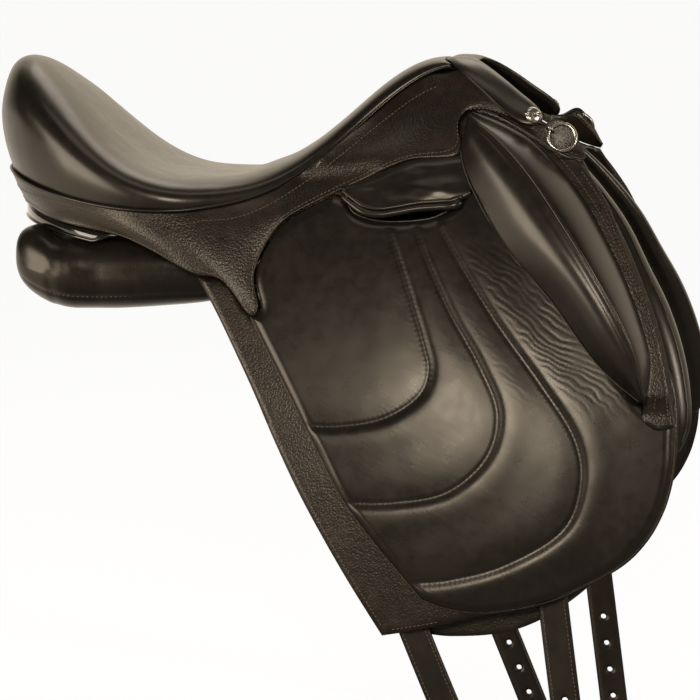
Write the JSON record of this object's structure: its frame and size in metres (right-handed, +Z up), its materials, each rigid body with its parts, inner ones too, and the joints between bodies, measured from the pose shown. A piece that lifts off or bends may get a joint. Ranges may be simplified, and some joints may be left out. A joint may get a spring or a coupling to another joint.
{
  "type": "dressage saddle",
  "caption": "Dressage saddle with a deep seat, long straight flaps with quilted pads, crescent knee blocks, stirrup bars with catches and long girth billets.",
  "frame": {"origin": "on the horse's back in the saddle's mid-plane, under the deepest part of the seat and level with the underside of the rear panels", "axes": "+X forward to the pommel, +Y to the saddle's left, +Z up"},
  "size_m": [0.6165, 0.4144, 0.6285],
  "materials": {
    "smooth_leather": "satin",
    "grained_leather": "pebbled",
    "billet_leather": "waxed",
    "patent_leather": "gloss",
    "foam": "matte",
    "webbing": "matte",
    "tree_wood": "varnished",
    "steel_plate": "brushed",
    "forged_steel": "satin",
    "bright_steel": "polished"
  },
  "bodies": {
    "saddle": {"seat_cover": "smooth_leather", "seat_foam": "foam", "seat_webbing": "webbing", "tree": "tree_wood", "gullet_plate": "steel_plate", "bar_rivets": "steel_plate", "front_girth_web": "webbing", "rear_girth_web": "webbing", "pommel_facing": "smooth_leather", "channel_lining": "smooth_leather", "skirt_right": "grained_leather", "skirt_left": "grained_leather", "welt_right": "smooth_leather", "welt_left": "smooth_leather", "stud_right": "bright_steel", "stud_left": "bright_steel", "dee_staple_right": "bright_steel", "dee_staple_left": "bright_steel", "bar_cover_right": "smooth_leather", "bar_cover_left": "smooth_leather", "slot_lip_right": "smooth_leather", "slot_lip_left": "smooth_leather", "flap_upper_right": "grained_leather", "flap_upper_left": "grained_leather", "flap_pad_upper_right": "smooth_leather", "flap_pad_upper_left": "smooth_leather", "front_border_right": "grained_leather", "front_border_left": "grained_leather", "knee_block_right": "smooth_leather", "knee_block_left": "smooth_leather", "sweat_flap_right": "grained_leather", "sweat_flap_left": "grained_leather", "knee_roll_right": "smooth_leather", "knee_roll_left": "smooth_leather", "panel_right": "smooth_leather", "panel_left": "smooth_leather", "panel_rim_right": "patent_leather", "panel_rim_left": "patent_leather", "stirrup_bar_right": "forged_steel", "stirrup_bar_left": "forged_steel", "catch_pin_right": "forged_steel", "catch_pin_left": "forged_steel"},
    "lower_flap_right": {"flap_lower_right": "grained_leather", "flap_pad_lower_right": "smooth_leather"},
    "front_billet_right": {"front_billet_right": "billet_leather"},
    "rear_billet_right": {"rear_billet_right": "billet_leather"},
    "dee_ring_right": {"dee_ring_right": "bright_steel"},
    "bar_catch_right": {"bar_catch_right": "forged_steel"},
    "lower_flap_left": {"flap_lower_left": "grained_leather", "flap_pad_lower_left": "smooth_leather"},
    "front_billet_left": {"front_billet_left": "billet_leather"},
    "rear_billet_left": {"rear_billet_left": "billet_leather"},
    "dee_ring_left": {"dee_ring_left": "bright_steel"},
    "bar_catch_left": {"bar_catch_left": "forged_steel"}
  },
  "joints": [
    {"name": "flap_lift_right", "type": "hinge", "parent": "saddle", "child": "lower_flap_right", "pos_m": [0.24, -0.185, -0.0953], "axis": [-0.9958, -0.0913, 0], "range_deg": [0, 50]},
    {"name": "front_billet_swing_right", "type": "hinge", "parent": "saddle", "child": "front_billet_right", "pos_m": [0.258, -0.12235, 0.034], "axis": [-0.1312, 0.9914, 0], "range_deg": [-6, 2.5]},
    {"name": "rear_billet_swing_right", "type": "hinge", "parent": "saddle", "child": "rear_billet_right", "pos_m": [0.062, -0.13229, 0.03], "axis": [-0.0227, 0.9997, 0], "range_deg": [-2.5, 8]},
    {"name": "dee_ring_swing_right", "type": "hinge", "parent": "saddle", "child": "dee_ring_right", "pos_m": [0.27706, -0.08239, 0.16179], "axis": [-0.482, -0.4125, -0.773], "range_deg": [0, 95]},
    {"name": "bar_catch_turn_right", "type": "hinge", "parent": "saddle", "child": "bar_catch_right", "pos_m": [0.108, -0.0947, 0.11], "axis": [0, 1, 0], "range_deg": [0, 30]},
    {"name": "flap_lift_left", "type": "hinge", "parent": "saddle", "child": "lower_flap_left", "pos_m": [0.24, 0.185, -0.0953], "axis": [0.9958, -0.0913, 0], "range_deg": [0, 50]},
    {"name": "front_billet_swing_left", "type": "hinge", "parent": "saddle", "child": "front_billet_left", "pos_m": [0.258, 0.12235, 0.034], "axis": [0.1312, 0.9914, 0], "range_deg": [-6, 2.5]},
    {"name": "rear_billet_swing_left", "type": "hinge", "parent": "saddle", "child": "rear_billet_left", "pos_m": [0.062, 0.13229, 0.03], "axis": [0.0227, 0.9997, 0], "range_deg": [-2.5, 8]},
    {"name": "dee_ring_swing_left", "type": "hinge", "parent": "saddle", "child": "dee_ring_left", "pos_m": [0.27706, 0.08239, 0.16179], "axis": [0.482, -0.4125, 0.773], "range_deg": [0, 95]},
    {"name": "bar_catch_turn_left", "type": "hinge", "parent": "saddle", "child": "bar_catch_left", "pos_m": [0.108, 0.0947, 0.11], "axis": [0, 1, 0], "range_deg": [0, 30]}
  ]
}
